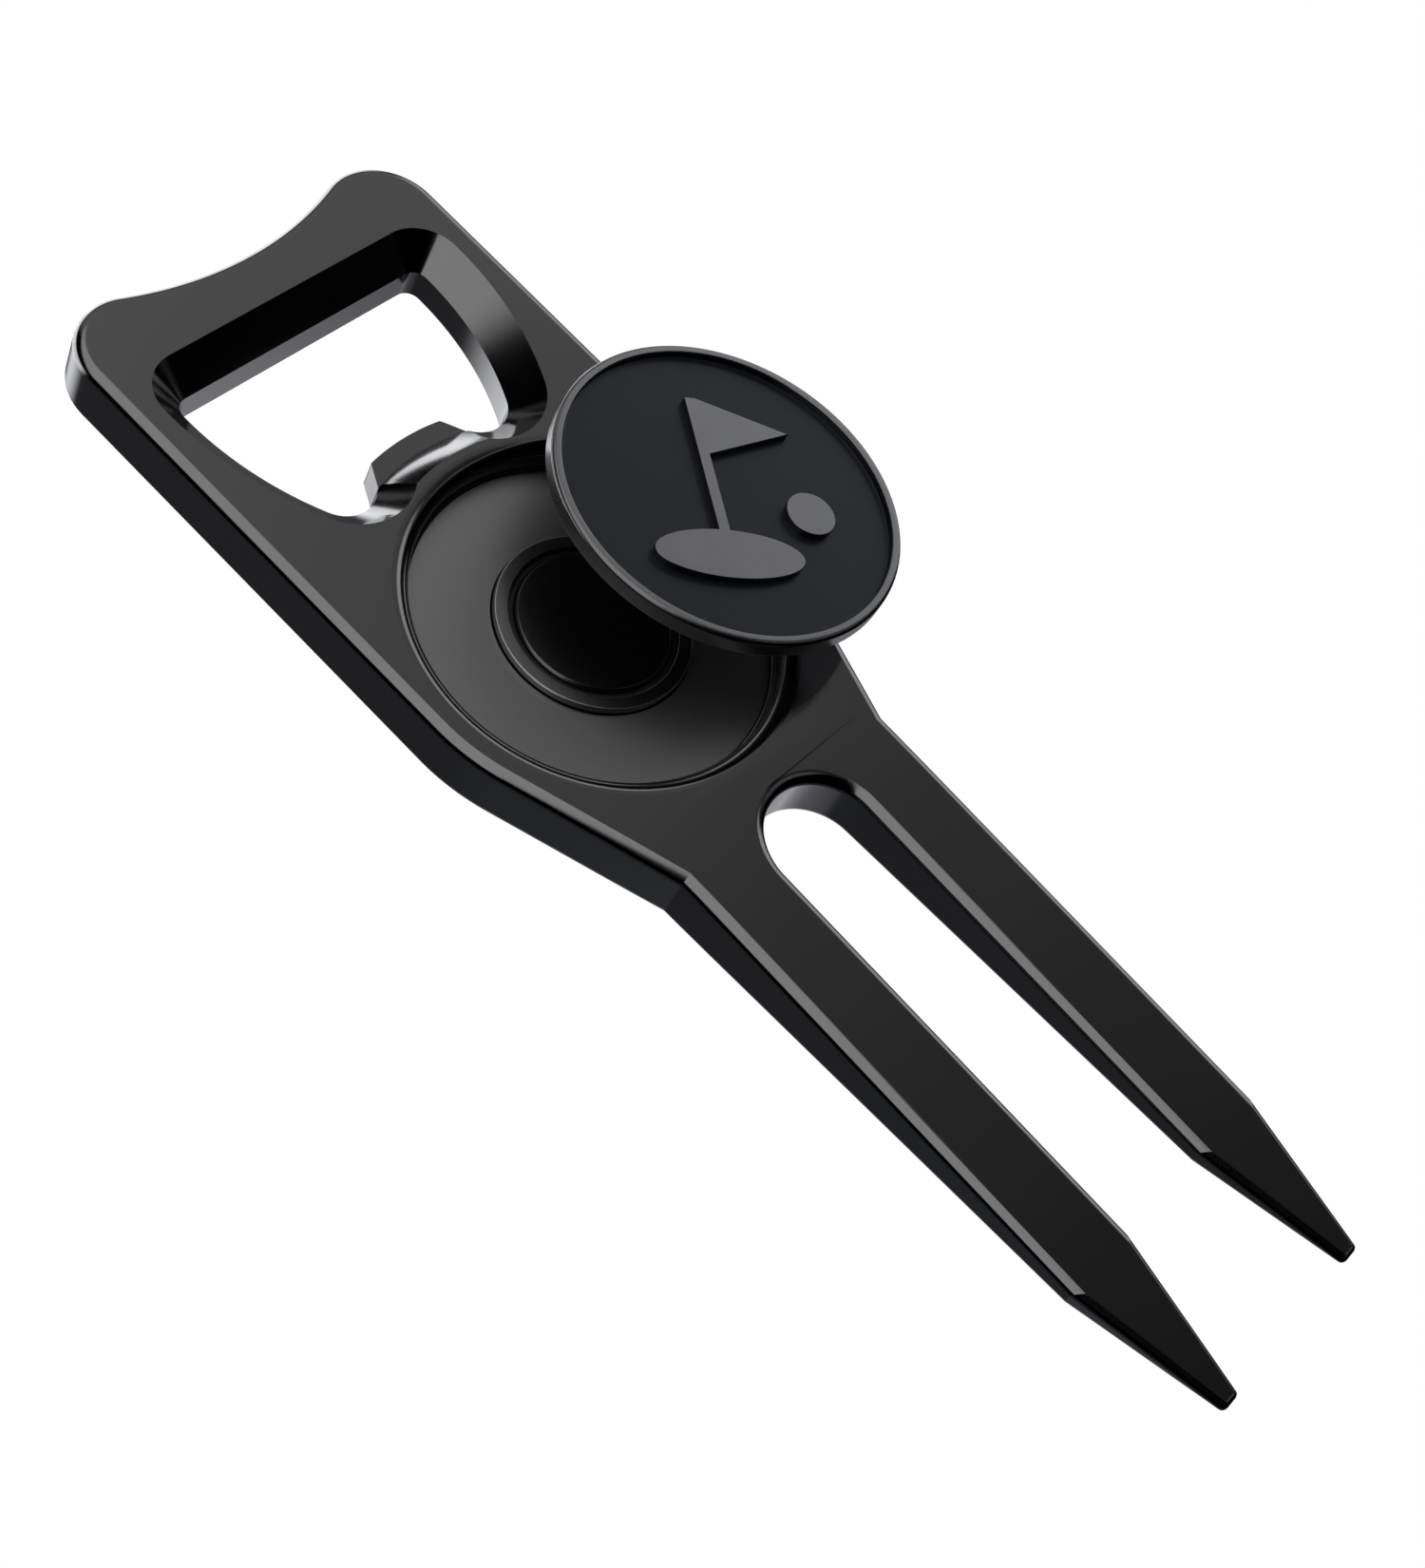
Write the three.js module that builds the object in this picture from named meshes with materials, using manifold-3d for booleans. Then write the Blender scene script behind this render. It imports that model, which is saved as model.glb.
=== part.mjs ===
// Divot repair tool: a flat two-pronged metal blade with a bottle opener window in its head
// and a magnetic recess that carries a removable ball marker.
//
// Millimetres. +X runs towards the prong tips, +Y across the blade, +Z up.
// The origin is on the flat underside, below the centre of the marker recess.
import * as THREE from 'three';
import { mergeVertices } from 'three/addons/utils/BufferGeometryUtils.js';
import Module from 'manifold-3d';

const wasm = await Module();
wasm.setup();

// ---- Driving dimensions ---------------------------------------------------------------------
const THICKNESS = 4.2;
const HALF_WIDTH = 15;
const CUT_MARGIN = 1;                 // how far a cutter runs past the faces it opens

const HEAD_CORNER_RADIUS = 4.3;
const HEAD_NOTCH_RADIUS = 26.9;       // shallow hollow across the end of the head
const HEAD_NOTCH_X = -33.08;          // deepest point of that hollow
const WAIST_TAPER = THREE.MathUtils.degToRad(19.5);

const PRONG_OUTER_Y = 10.03;
const PRONG_INNER_Y = 4.06;
const SLOT_END_X = 20.2;              // centre of the round end of the slot
const POINT_START_X = 49.6;           // where the prongs begin to narrow
const PRONG_TIP_X = 60.57;
const POINT_SLOPE = 0.2;
const TIP_CORNER_RADIUS = 0.4;

const WEDGE_START_X = 16.7;           // the prongs get thinner from here, on both faces
const WEDGE_SLOPE = 0.039;
const WEDGE_BLEND = 5;                // half length of the soft start of the wedge

const RECESS_RADIUS = 12.2;
const RECESS_DEPTH = 1.96;
const RIM_WIDTH = 1.22;               // rounded lead-in around the recess
const RIM_DROP = 0.9;

const WINDOW_CHAMFER = 2.07;          // 45 degrees, down to half the thickness
const WINDOW_FAR_X = -27.29;
const BARREL_RADIUS = 21.46;          // bowed sides of the window
const BARREL_CENTRE = new THREE.Vector2(-26.22, -10.58);
const LOBE_RADIUS = 2.4;              // round lobes on both sides of the lug
const LOBE_CENTRE_Y = 6.1;
const LUG_ROOT_RADIUS = 15.99;        // the lug grows out of a wall concentric with the recess
const LUG_TIP_X = -17.26;
const LUG_TIP_HALF_WIDTH = 3.2;
const LUG_ROOT_X = -15.3;
const LUG_ROOT_HALF_WIDTH = 4.3;

const CUP_RADIUS = 6.58;
const CUP_WALL = 0.98;
const CUP_BASE = 0.5;
const CUP_TOP_BELOW_FACE = 1.4;
const CUP_BOTTOM_Z = 0.8;
const CUP_EDGE = 0.1;
const MAGNET_RADIUS = 5.2;
const MAGNET_EDGE = 0.15;
const GLUE_BED = 0.15;
const GLUE_BELOW_TOP = 0.3;
const FIT_GAP = 0.05;                 // clearance between pieces that are fitted together
const POCKET_GAP = 0.1;

const MARKER_RADIUS = 12;
const MARKER_THICKNESS = 1.4;
const MARKER_EDGE = 0.2;
const MARKER_RIM = 0.66;
const MARKER_FIELD_Z = 0.7;           // floor of the sunk field, above the marker's underside
const ENAMEL_THICKNESS = 0.2;
const ENAMEL_GAP = 0.08;
const MARKER_LIFT = 5.03;             // height of the marker's face above the blade's face
const MARKER_SHIFT_Y = 10.14;
const MARKER_TILT = THREE.MathUtils.degToRad(4.28);
const MARKER_SPIN = THREE.MathUtils.degToRad(54);

const OUTLINE_SEGMENTS = 16;
const ROUND_SEGMENTS = 96;

// ---- Solids ---------------------------------------------------------------------------------
function solid(geometry) {
  const bare = geometry.clone();
  bare.deleteAttribute('normal');
  bare.deleteAttribute('uv');
  const merged = mergeVertices(bare, 1e-4);
  return new wasm.Manifold(new wasm.Mesh({
    numProp: 3,
    vertProperties: new Float32Array(merged.attributes.position.array),
    triVerts: new Uint32Array(merged.index.array),
  }));
}

function geometryOf(manifold) {
  const mesh = manifold.getMesh();
  const geometry = new THREE.BufferGeometry();
  geometry.setAttribute('position', new THREE.BufferAttribute(mesh.vertProperties, 3));
  geometry.setIndex(new THREE.BufferAttribute(mesh.triVerts, 1));
  geometry.computeVertexNormals();
  return geometry;
}

// A flat outline swept from height bottom to height top.
function prism(shape, bottom, top) {
  const geometry = new THREE.ExtrudeGeometry(shape, {
    depth: top - bottom,
    bevelEnabled: false,
    curveSegments: OUTLINE_SEGMENTS,
  });
  return solid(geometry.translate(0, 0, bottom));
}

// A profile of [radius, height] points turned about the vertical axis. It starts and ends on the axis.
function turned(profile) {
  const points = profile.map(([radius, height]) => new THREE.Vector2(radius, height));
  return new THREE.LatheGeometry(points, ROUND_SEGMENTS).rotateX(Math.PI / 2);
}

function cone(centre, bottomRadius, topRadius, bottom, top) {
  const profile = [[0, bottom], [bottomRadius, bottom], [topRadius, top], [0, top]];
  return solid(turned(profile).translate(centre.x, centre.y, 0));
}

// ---- Blade ----------------------------------------------------------------------------------
// Half of the outline, from the middle of the head's end to the tip of one prong and back along
// the slot, as a list of points. side is +1 or -1.
function arcPoints(centreX, centreY, radius, startAngle, endAngle) {
  const points = [];
  for (let i = 0; i <= OUTLINE_SEGMENTS; i += 1) {
    const angle = THREE.MathUtils.lerp(startAngle, endAngle, i / OUTLINE_SEGMENTS);
    points.push([centreX + radius * Math.cos(angle), centreY + radius * Math.sin(angle)]);
  }
  return points;
}

function halfOutline() {
  const cornerY = HALF_WIDTH - HEAD_CORNER_RADIUS;
  const notchCentreX = HEAD_NOTCH_X - HEAD_NOTCH_RADIUS;
  const notchAngle = Math.asin(cornerY / (HEAD_NOTCH_RADIUS + HEAD_CORNER_RADIUS));
  const cornerX = notchCentreX + (HEAD_NOTCH_RADIUS + HEAD_CORNER_RADIUS) * Math.cos(notchAngle);

  const waistAngle = Math.PI / 2 - WAIST_TAPER;
  const waistX = HALF_WIDTH * Math.cos(waistAngle);
  const waistY = HALF_WIDTH * Math.sin(waistAngle);
  const shoulderX = waistX + (waistY - PRONG_OUTER_Y) / Math.tan(WAIST_TAPER);

  const pointLength = PRONG_TIP_X - POINT_START_X;
  const tipOuterY = PRONG_OUTER_Y - POINT_SLOPE * pointLength;
  const tipInnerY = PRONG_INNER_Y + POINT_SLOPE * pointLength;
  const tipRoundX = PRONG_TIP_X - TIP_CORNER_RADIUS;

  return [
    ...arcPoints(notchCentreX, 0, HEAD_NOTCH_RADIUS, 0, notchAngle),
    ...arcPoints(cornerX, cornerY, HEAD_CORNER_RADIUS, Math.PI + notchAngle, Math.PI / 2).slice(1),
    ...arcPoints(0, 0, HALF_WIDTH, Math.PI / 2, waistAngle),
    [shoulderX, PRONG_OUTER_Y],
    [POINT_START_X, PRONG_OUTER_Y],
    [tipRoundX, tipOuterY],
    [PRONG_TIP_X, tipOuterY - TIP_CORNER_RADIUS],
    [PRONG_TIP_X, tipInnerY + TIP_CORNER_RADIUS],
    [tipRoundX, tipInnerY],
    [POINT_START_X, PRONG_INNER_Y],
    ...arcPoints(SLOT_END_X, 0, PRONG_INNER_Y, Math.PI / 2, Math.PI),
  ];
}

function bladeOutline() {
  const upper = halfOutline();
  const lower = upper.slice(1, -1).reverse().map(([x, y]) => [x, -y]);
  return new THREE.Shape([...upper, ...lower].map(([x, y]) => new THREE.Vector2(x, y)));
}

// The side view of the blade: full thickness under the head, then a slim wedge to the tips.
function sideProfile() {
  const headX = HEAD_NOTCH_X - HEAD_CORNER_RADIUS;
  const tipX = PRONG_TIP_X + CUT_MARGIN;
  const rise = WEDGE_SLOPE * (tipX - WEDGE_START_X);
  const blendRise = WEDGE_SLOPE * WEDGE_BLEND;
  const shape = new THREE.Shape();
  shape.moveTo(headX, 0);
  shape.lineTo(WEDGE_START_X - WEDGE_BLEND, 0);
  shape.quadraticCurveTo(WEDGE_START_X, 0, WEDGE_START_X + WEDGE_BLEND, blendRise);
  shape.lineTo(tipX, rise);
  shape.lineTo(tipX, THICKNESS - rise);
  shape.lineTo(WEDGE_START_X + WEDGE_BLEND, THICKNESS - blendRise);
  shape.quadraticCurveTo(WEDGE_START_X, THICKNESS, WEDGE_START_X - WEDGE_BLEND, THICKNESS);
  shape.lineTo(headX, THICKNESS);
  shape.closePath();
  return shape;
}

function wedgedSlab() {
  const depth = 2 * (HALF_WIDTH + CUT_MARGIN);
  const geometry = new THREE.ExtrudeGeometry(sideProfile(), {
    depth,
    bevelEnabled: false,
    curveSegments: OUTLINE_SEGMENTS,
  });
  return solid(geometry.rotateX(Math.PI / 2).translate(0, depth / 2, 0));
}

// ---- Opener window --------------------------------------------------------------------------
// The lobe circles touch the bowed sides from inside.
function lobeCentre(side) {
  const reach = BARREL_RADIUS - LOBE_RADIUS;
  const acrossY = LOBE_CENTRE_Y - BARREL_CENTRE.y;
  return new THREE.Vector2(BARREL_CENTRE.x + Math.sqrt(reach ** 2 - acrossY ** 2), side * LOBE_CENTRE_Y);
}

// The window without its lug: a straight far end, bowed sides, and a near end that lies inside
// the lobes and the lug's root wall.
function barrelShape() {
  const lobe = lobeCentre(1);
  const farAngle = Math.acos((WINDOW_FAR_X - BARREL_CENTRE.x) / BARREL_RADIUS);
  const lobeAngle = Math.atan2(lobe.y - BARREL_CENTRE.y, lobe.x - BARREL_CENTRE.x);
  const side = arcPoints(BARREL_CENTRE.x, BARREL_CENTRE.y, BARREL_RADIUS, farAngle, lobeAngle);
  const upper = [...side, [lobe.x + LOBE_RADIUS, lobe.y]];
  const lower = upper.map(([x, y]) => [x, -y]).reverse();
  return new THREE.Shape([...upper, ...lower].map(([x, y]) => new THREE.Vector2(x, y)));
}

function flaredBarrel(bottom) {
  const geometry = new THREE.ExtrudeGeometry(barrelShape(), {
    depth: WINDOW_CHAMFER,
    bevelThickness: WINDOW_CHAMFER,
    bevelSize: WINDOW_CHAMFER,
    bevelSegments: 1,
    curveSegments: OUTLINE_SEGMENTS,
  });
  return solid(geometry.translate(0, 0, bottom + WINDOW_CHAMFER));
}

function lugShape() {
  return new THREE.Shape([
    new THREE.Vector2(LUG_TIP_X, -LUG_TIP_HALF_WIDTH),
    new THREE.Vector2(LUG_ROOT_X, -LUG_ROOT_HALF_WIDTH),
    new THREE.Vector2(LUG_ROOT_X, LUG_ROOT_HALF_WIDTH),
    new THREE.Vector2(LUG_TIP_X, LUG_TIP_HALF_WIDTH),
  ]);
}

function openerCutter() {
  const axis = new THREE.Vector2(0, 0);
  const stepZ = THICKNESS - WINDOW_CHAMFER;
  const lowZ = -CUT_MARGIN;
  const highZ = THICKNESS + CUT_MARGIN;
  const flare = highZ - stepZ;

  const rootCone = cone(axis, LUG_ROOT_RADIUS, LUG_ROOT_RADIUS - flare, stepZ, highZ);
  let upper = flaredBarrel(stepZ).subtract(rootCone);

  const rootDrum = cone(axis, LUG_ROOT_RADIUS, LUG_ROOT_RADIUS, lowZ, stepZ);
  let lower = prism(barrelShape(), lowZ, stepZ).subtract(rootDrum);

  for (const side of [-1, 1]) {
    const centre = lobeCentre(side);
    upper = upper.add(cone(centre, LOBE_RADIUS, LOBE_RADIUS + flare, stepZ, highZ));
    lower = lower.add(cone(centre, LOBE_RADIUS, LOBE_RADIUS, lowZ, stepZ));
  }
  return upper.add(lower.subtract(prism(lugShape(), lowZ, stepZ)));
}

// ---- Marker recess --------------------------------------------------------------------------
function rimProfile() {
  const steps = 6;
  const points = [];
  for (let i = 0; i <= steps; i += 1) {
    const angle = (i / steps) * (Math.PI / 2);
    const radius = RECESS_RADIUS + RIM_WIDTH * (1 - Math.cos(angle));
    points.push([radius, THICKNESS - RIM_DROP * (1 - Math.sin(angle))]);
  }
  return points;
}

function recessCutter() {
  const highZ = THICKNESS + CUT_MARGIN;
  const floorZ = THICKNESS - RECESS_DEPTH;
  const recess = solid(turned([
    [0, floorZ],
    [RECESS_RADIUS, floorZ],
    ...rimProfile(),
    [RECESS_RADIUS + RIM_WIDTH, highZ],
    [0, highZ],
  ]));
  const pocketRadius = CUP_RADIUS + POCKET_GAP;
  const pocket = cone(new THREE.Vector2(0, 0), pocketRadius, pocketRadius, CUP_BOTTOM_Z - POCKET_GAP, highZ);
  return recess.add(pocket);
}

function toolBody() {
  return prism(bladeOutline(), -CUT_MARGIN, THICKNESS + CUT_MARGIN)
    .intersect(wedgedSlab())
    .subtract(openerCutter())
    .subtract(recessCutter());
}

// ---- Magnet ---------------------------------------------------------------------------------
const magnetTopZ = THICKNESS - CUP_TOP_BELOW_FACE;
const cupFloorZ = CUP_BOTTOM_Z + CUP_BASE;
const cupInnerRadius = CUP_RADIUS - CUP_WALL;
const magnetBottomZ = cupFloorZ + GLUE_BED + 2 * FIT_GAP;

function magnetCup() {
  return turned([
    [0, CUP_BOTTOM_Z],
    [CUP_RADIUS - CUP_EDGE, CUP_BOTTOM_Z],
    [CUP_RADIUS, CUP_BOTTOM_Z + CUP_EDGE],
    [CUP_RADIUS, magnetTopZ - CUP_EDGE],
    [CUP_RADIUS - CUP_EDGE, magnetTopZ],
    [cupInnerRadius + CUP_EDGE, magnetTopZ],
    [cupInnerRadius, magnetTopZ - CUP_EDGE],
    [cupInnerRadius, cupFloorZ],
    [0, cupFloorZ],
  ]);
}

// A thin layer under the magnet that wells up around it.
function magnetAdhesive() {
  const outer = cupInnerRadius - FIT_GAP;
  const inner = MAGNET_RADIUS + FIT_GAP;
  const bottom = cupFloorZ + FIT_GAP;
  return turned([
    [0, bottom],
    [outer, bottom],
    [outer, magnetTopZ - GLUE_BELOW_TOP],
    [inner, magnetTopZ - GLUE_BELOW_TOP],
    [inner, bottom + GLUE_BED],
    [0, bottom + GLUE_BED],
  ]);
}

function magnetDisc() {
  return turned([
    [0, magnetBottomZ],
    [MAGNET_RADIUS, magnetBottomZ],
    [MAGNET_RADIUS, magnetTopZ - MAGNET_EDGE],
    [MAGNET_RADIUS - MAGNET_EDGE, magnetTopZ],
    [0, magnetTopZ],
  ]);
}

// ---- Ball marker ----------------------------------------------------------------------------
// The raised emblem: a flagstick with a pennant standing in a cup, and a ball beside it.
const EMBLEM_STICK = { x: -1.2, halfWidth: 0.38, bottom: -4.6, top: 7.4 };
const EMBLEM_PENNANT = { length: 6.2, drop: 4.6 };
const EMBLEM_CUP = { x: -1.2, y: -5.2, radiusX: 5.2, radiusY: 1.9 };
const EMBLEM_BALL = { x: 5.4, y: -1.4, radius: 1.7 };

function emblemShapes() {
  const { x, halfWidth, bottom, top } = EMBLEM_STICK;
  const flag = new THREE.Shape([
    new THREE.Vector2(x - halfWidth, bottom),
    new THREE.Vector2(x + halfWidth, bottom),
    new THREE.Vector2(x + halfWidth, top - EMBLEM_PENNANT.drop),
    new THREE.Vector2(x + halfWidth + EMBLEM_PENNANT.length, top - EMBLEM_PENNANT.drop / 2),
    new THREE.Vector2(x + halfWidth, top),
    new THREE.Vector2(x - halfWidth, top),
  ]);
  const cup = new THREE.Shape();
  cup.absellipse(EMBLEM_CUP.x, EMBLEM_CUP.y, EMBLEM_CUP.radiusX, EMBLEM_CUP.radiusY, 0, 2 * Math.PI);
  const ball = new THREE.Shape();
  ball.absarc(EMBLEM_BALL.x, EMBLEM_BALL.y, EMBLEM_BALL.radius, 0, 2 * Math.PI);
  return [flag, cup, ball];
}

function emblem(bottom, top) {
  const [first, ...rest] = emblemShapes().map((shape) => prism(shape, bottom, top));
  return rest.reduce((joined, piece) => joined.add(piece), first);
}

// The marker stands on its underside at height 0.
function markerCoin() {
  const rimInner = MARKER_RADIUS - MARKER_RIM;
  const blank = solid(turned([
    [0, 0],
    [MARKER_RADIUS - MARKER_EDGE, 0],
    [MARKER_RADIUS, MARKER_EDGE],
    [MARKER_RADIUS, MARKER_THICKNESS - MARKER_EDGE],
    [MARKER_RADIUS - MARKER_EDGE, MARKER_THICKNESS],
    [rimInner, MARKER_THICKNESS],
    [rimInner, MARKER_FIELD_Z],
    [0, MARKER_FIELD_Z],
  ]));
  return blank.add(emblem(MARKER_FIELD_Z / 2, MARKER_THICKNESS));
}

function markerEnamel() {
  const bottom = MARKER_FIELD_Z + ENAMEL_GAP;
  const radius = MARKER_RADIUS - MARKER_RIM - ENAMEL_GAP;
  const fill = cone(new THREE.Vector2(0, 0), radius, radius, bottom, bottom + ENAMEL_THICKNESS);
  const clearances = [[-1, -1], [-1, 1], [1, -1], [1, 1]].map(([signX, signY]) => (
    emblem(0, MARKER_THICKNESS).translate([signX * ENAMEL_GAP, signY * ENAMEL_GAP, 0])
  ));
  return clearances.reduce((left, piece) => left.subtract(piece), fill);
}

// ---- Assembly -------------------------------------------------------------------------------
const finishes = {
  blade: { color: 0x1c1c1f, roughness: 0.3, metalness: 0.75 },
  cup: { color: 0x8a8b8e, roughness: 0.3, metalness: 1 },
  magnet: { color: 0x55565a, roughness: 0.25, metalness: 1 },
  adhesive: { color: 0x2a2522, roughness: 0.6, metalness: 0 },
  coin: { color: 0x6a6b6e, roughness: 0.35, metalness: 1 },
  enamel: { color: 0x1b1d22, roughness: 0.4, metalness: 0 },
};

function piece(name, geometry, finish) {
  const mesh = new THREE.Mesh(geometry, new THREE.MeshStandardMaterial(finish));
  mesh.name = name;
  return mesh;
}

const tool = new THREE.Group();
tool.add(piece('tool_body', geometryOf(toolBody()), finishes.blade));
tool.add(piece('magnet_cup', magnetCup(), finishes.cup));
tool.add(piece('magnet_disc', magnetDisc(), finishes.magnet));
tool.add(piece('magnet_adhesive', magnetAdhesive(), finishes.adhesive));

const marker = new THREE.Group();
marker.add(piece('marker_coin', geometryOf(markerCoin()), finishes.coin));
marker.add(piece('marker_enamel', geometryOf(markerEnamel()), finishes.enamel));
marker.position.set(
  0,
  MARKER_SHIFT_Y - MARKER_THICKNESS * Math.sin(MARKER_TILT),
  THICKNESS + MARKER_LIFT - MARKER_THICKNESS * Math.cos(MARKER_TILT),
);
marker.rotation.set(-MARKER_TILT, 0, MARKER_SPIN);

const divotTool = new THREE.Group();
divotTool.add(tool, marker);
export default divotTool;
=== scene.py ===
"""Divot repair tool with a bottle opener window and a magnetic ball marker."""
import math

import bmesh
import bpy
from mathutils import Matrix, Vector


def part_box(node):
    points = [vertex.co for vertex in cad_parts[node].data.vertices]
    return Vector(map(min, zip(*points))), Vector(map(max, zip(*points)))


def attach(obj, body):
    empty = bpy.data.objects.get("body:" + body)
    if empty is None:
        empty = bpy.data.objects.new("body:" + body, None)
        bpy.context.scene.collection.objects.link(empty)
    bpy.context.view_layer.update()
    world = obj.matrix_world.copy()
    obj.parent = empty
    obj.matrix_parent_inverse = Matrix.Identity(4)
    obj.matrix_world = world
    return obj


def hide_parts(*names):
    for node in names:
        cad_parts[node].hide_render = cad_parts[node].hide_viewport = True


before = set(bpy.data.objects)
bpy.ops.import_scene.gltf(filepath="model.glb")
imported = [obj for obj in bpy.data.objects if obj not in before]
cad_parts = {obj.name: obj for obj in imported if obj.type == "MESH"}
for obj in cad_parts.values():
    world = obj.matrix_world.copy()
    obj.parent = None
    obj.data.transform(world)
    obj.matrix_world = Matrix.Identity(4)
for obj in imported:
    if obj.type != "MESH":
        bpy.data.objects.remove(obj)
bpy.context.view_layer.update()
MM = 0.001

# ---- Dimensions: millimetres, worked out from the frame where it holds them -----------------


def frame_box(node):
    low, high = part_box(node)
    return low / MM, high / MM


BLADE_HIGH = frame_box("tool_body")[1]
CUP_LOW, CUP_HIGH = frame_box("magnet_cup")
MAGNET_LOW, MAGNET_HIGH = frame_box("magnet_disc")
GLUE_LOW, GLUE_HIGH = frame_box("magnet_adhesive")

THICKNESS = BLADE_HIGH.z
HALF_WIDTH = BLADE_HIGH.y
PRONG_TIP_X = BLADE_HIGH.x
MARGIN = 1.0  # how far a cutting solid reaches past what it cuts

HEAD_CORNER_RADIUS = 4.3
HEAD_NOTCH_RADIUS = 26.9
HEAD_NOTCH_X = -33.08
WAIST_TAPER = math.radians(19.5)
PRONG_OUTER_Y = 10.03
PRONG_INNER_Y = 4.06
SLOT_END_X = 20.2
POINT_START_X = 49.6
POINT_SLOPE = 0.2
WEDGE_START_X = 16.7
WEDGE_SLOPE = 0.039
WEDGE_BLEND = 5.0
FACE_ROUND = 0.76
BACK_ROUND = 0.5
TIP_ROUND = 0.34

RECESS_RADIUS = 12.2
RECESS_FLOOR_Z = THICKNESS - 1.96
RIM_WIDTH = 1.22
RIM_DROP = 0.9

WINDOW_STEP_Z = THICKNESS - 2.07
WINDOW_FAR_X = -27.29
WINDOW_CORNER_RADIUS = 1.0
BARREL_RADIUS = 21.46
BARREL_CENTRE = Vector((-26.22, -10.58))
LOBE_RADIUS = 2.4
LOBE_CENTRE_Y = 6.1
LOBE_TURN = math.radians(20)
LOBE_PLAY = 0.004
LUG_ROOT_RADIUS = 15.99
LUG_TOP_Z = 2.08
LUG_TIP_RADIUS = 17.45
LUG_TIP_HALF_WIDTH = 3.1
LUG_CORNER = 0.14
LUG_ROOT_X = -15.3
LUG_ROOT_HALF_WIDTH = 4.25
ROOT_TOP_RADIUS = 13.92
RISER_TOP_Z = 2.34
RISER_ROUND = 0.07

ARC_STEPS = 20
ROUND_STEPS = 144
CORNER_STEPS = 24
BARREL_STEPS = 40
LOBE_ARC_STEPS = 20
LOBE_ROUND_STEPS = 96
WEDGE_STEPS = 4
POINT_PARTS = 6
ROUNDING_SEGMENTS = 6
SLIVER_AREA = 0.015
NEAR_POINTS = 0.12
LEVEL = 0.998
UPRIGHT = 0.001


# ---- Modelling helpers ----------------------------------------------------------------------
# Pieces are modelled with one unit for a millimetre, and shrunk to metres when they are finished.
def deselect_all():
    if bpy.context.object and bpy.context.object.mode != "OBJECT":
        bpy.ops.object.mode_set(mode="OBJECT")
    bpy.ops.object.select_all(action="DESELECT")


def choose(piece):
    deselect_all()
    piece.select_set(True)
    bpy.context.view_layer.objects.active = piece


def edit(piece):
    choose(piece)
    bpy.ops.object.mode_set(mode="EDIT")
    bpy.ops.mesh.select_mode(type="VERT")


def leave_edit():
    bpy.ops.object.mode_set(mode="OBJECT")


def settle(piece):
    """Moves the piece's place, turn and size into its mesh."""
    choose(piece)
    bpy.ops.object.transform_apply(location=True, rotation=True, scale=True)


def to_metres(piece):
    piece.scale = (MM, MM, MM)
    settle(piece)


def select_edges(piece, wanted):
    """Selects the edges of the piece in edit mode for which wanted(edge) is true."""
    bpy.ops.mesh.select_mode(type="EDGE")
    bpy.ops.mesh.select_all(action="DESELECT")
    mesh = bmesh.from_edit_mesh(piece.data)
    for edge in mesh.edges:
        edge.select_set(bool(wanted(edge)))
    bmesh.update_edit_mesh(piece.data)


def select_faces(piece, wanted):
    """Selects the faces of the piece in edit mode for which wanted(face) is true."""
    bpy.ops.mesh.select_mode(type="FACE")
    bpy.ops.mesh.select_all(action="DESELECT")
    mesh = bmesh.from_edit_mesh(piece.data)
    for face in mesh.faces:
        face.select_set(bool(wanted(face)))
    bmesh.update_edit_mesh(piece.data)


def grow(x=0.0, y=0.0, z=0.0):
    """Extrudes the selection by x, y and z millimetres."""
    bpy.ops.mesh.extrude_region_move(TRANSFORM_OT_translate={"value": (x, y, z)})


def tidy_mesh(piece):
    """Merges doubles and turns the faces outwards."""
    edit(piece)
    bpy.ops.mesh.select_all(action="SELECT")
    bpy.ops.mesh.remove_doubles(threshold=0.0005)
    bpy.ops.mesh.normals_make_consistent(inside=False)
    leave_edit()


class Pen:
    """Draws a flat outline with one point that is extruded along lines and spun round arcs."""

    def __init__(self, name, x, y, z):
        deselect_all()
        bpy.ops.mesh.primitive_plane_add(size=1)
        self.piece = bpy.context.object
        self.piece.name = name
        self.point = Vector((x, y, z))
        edit(self.piece)
        bpy.ops.mesh.select_all(action="SELECT")
        bpy.ops.mesh.merge(type="CENTER")
        bpy.ops.transform.translate(value=self.point)

    def line(self, x, y):
        step = Vector((x, y, self.point.z)) - self.point
        grow(*step)
        self.point += step

    def arc(self, centre_x, centre_y, angle, steps=ARC_STEPS):
        """Turns the point anticlockwise about a centre, or clockwise by a negative angle."""
        centre = Vector((centre_x, centre_y, self.point.z))
        bpy.ops.mesh.spin(steps=steps, angle=-angle, center=centre, axis=(0, 0, 1))
        self.point = centre + Matrix.Rotation(angle, 3, "Z") @ (self.point - centre)

    def mirror(self):
        """Adds the same points on the other side of the X axis."""
        bpy.ops.mesh.select_all(action="SELECT")
        bpy.ops.mesh.duplicate()
        bpy.ops.transform.resize(value=(1, -1, 1), center_override=(0, 0, 0))

    def fill(self):
        bpy.ops.mesh.select_all(action="SELECT")
        bpy.ops.mesh.remove_doubles(threshold=0.001)
        bpy.ops.mesh.edge_face_add()
        return self.piece


def prism(piece, height):
    """Extrudes a filled outline upwards into a closed solid."""
    bpy.ops.mesh.select_all(action="SELECT")
    grow(z=height)
    leave_edit()
    tidy_mesh(piece)
    return piece


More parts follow.
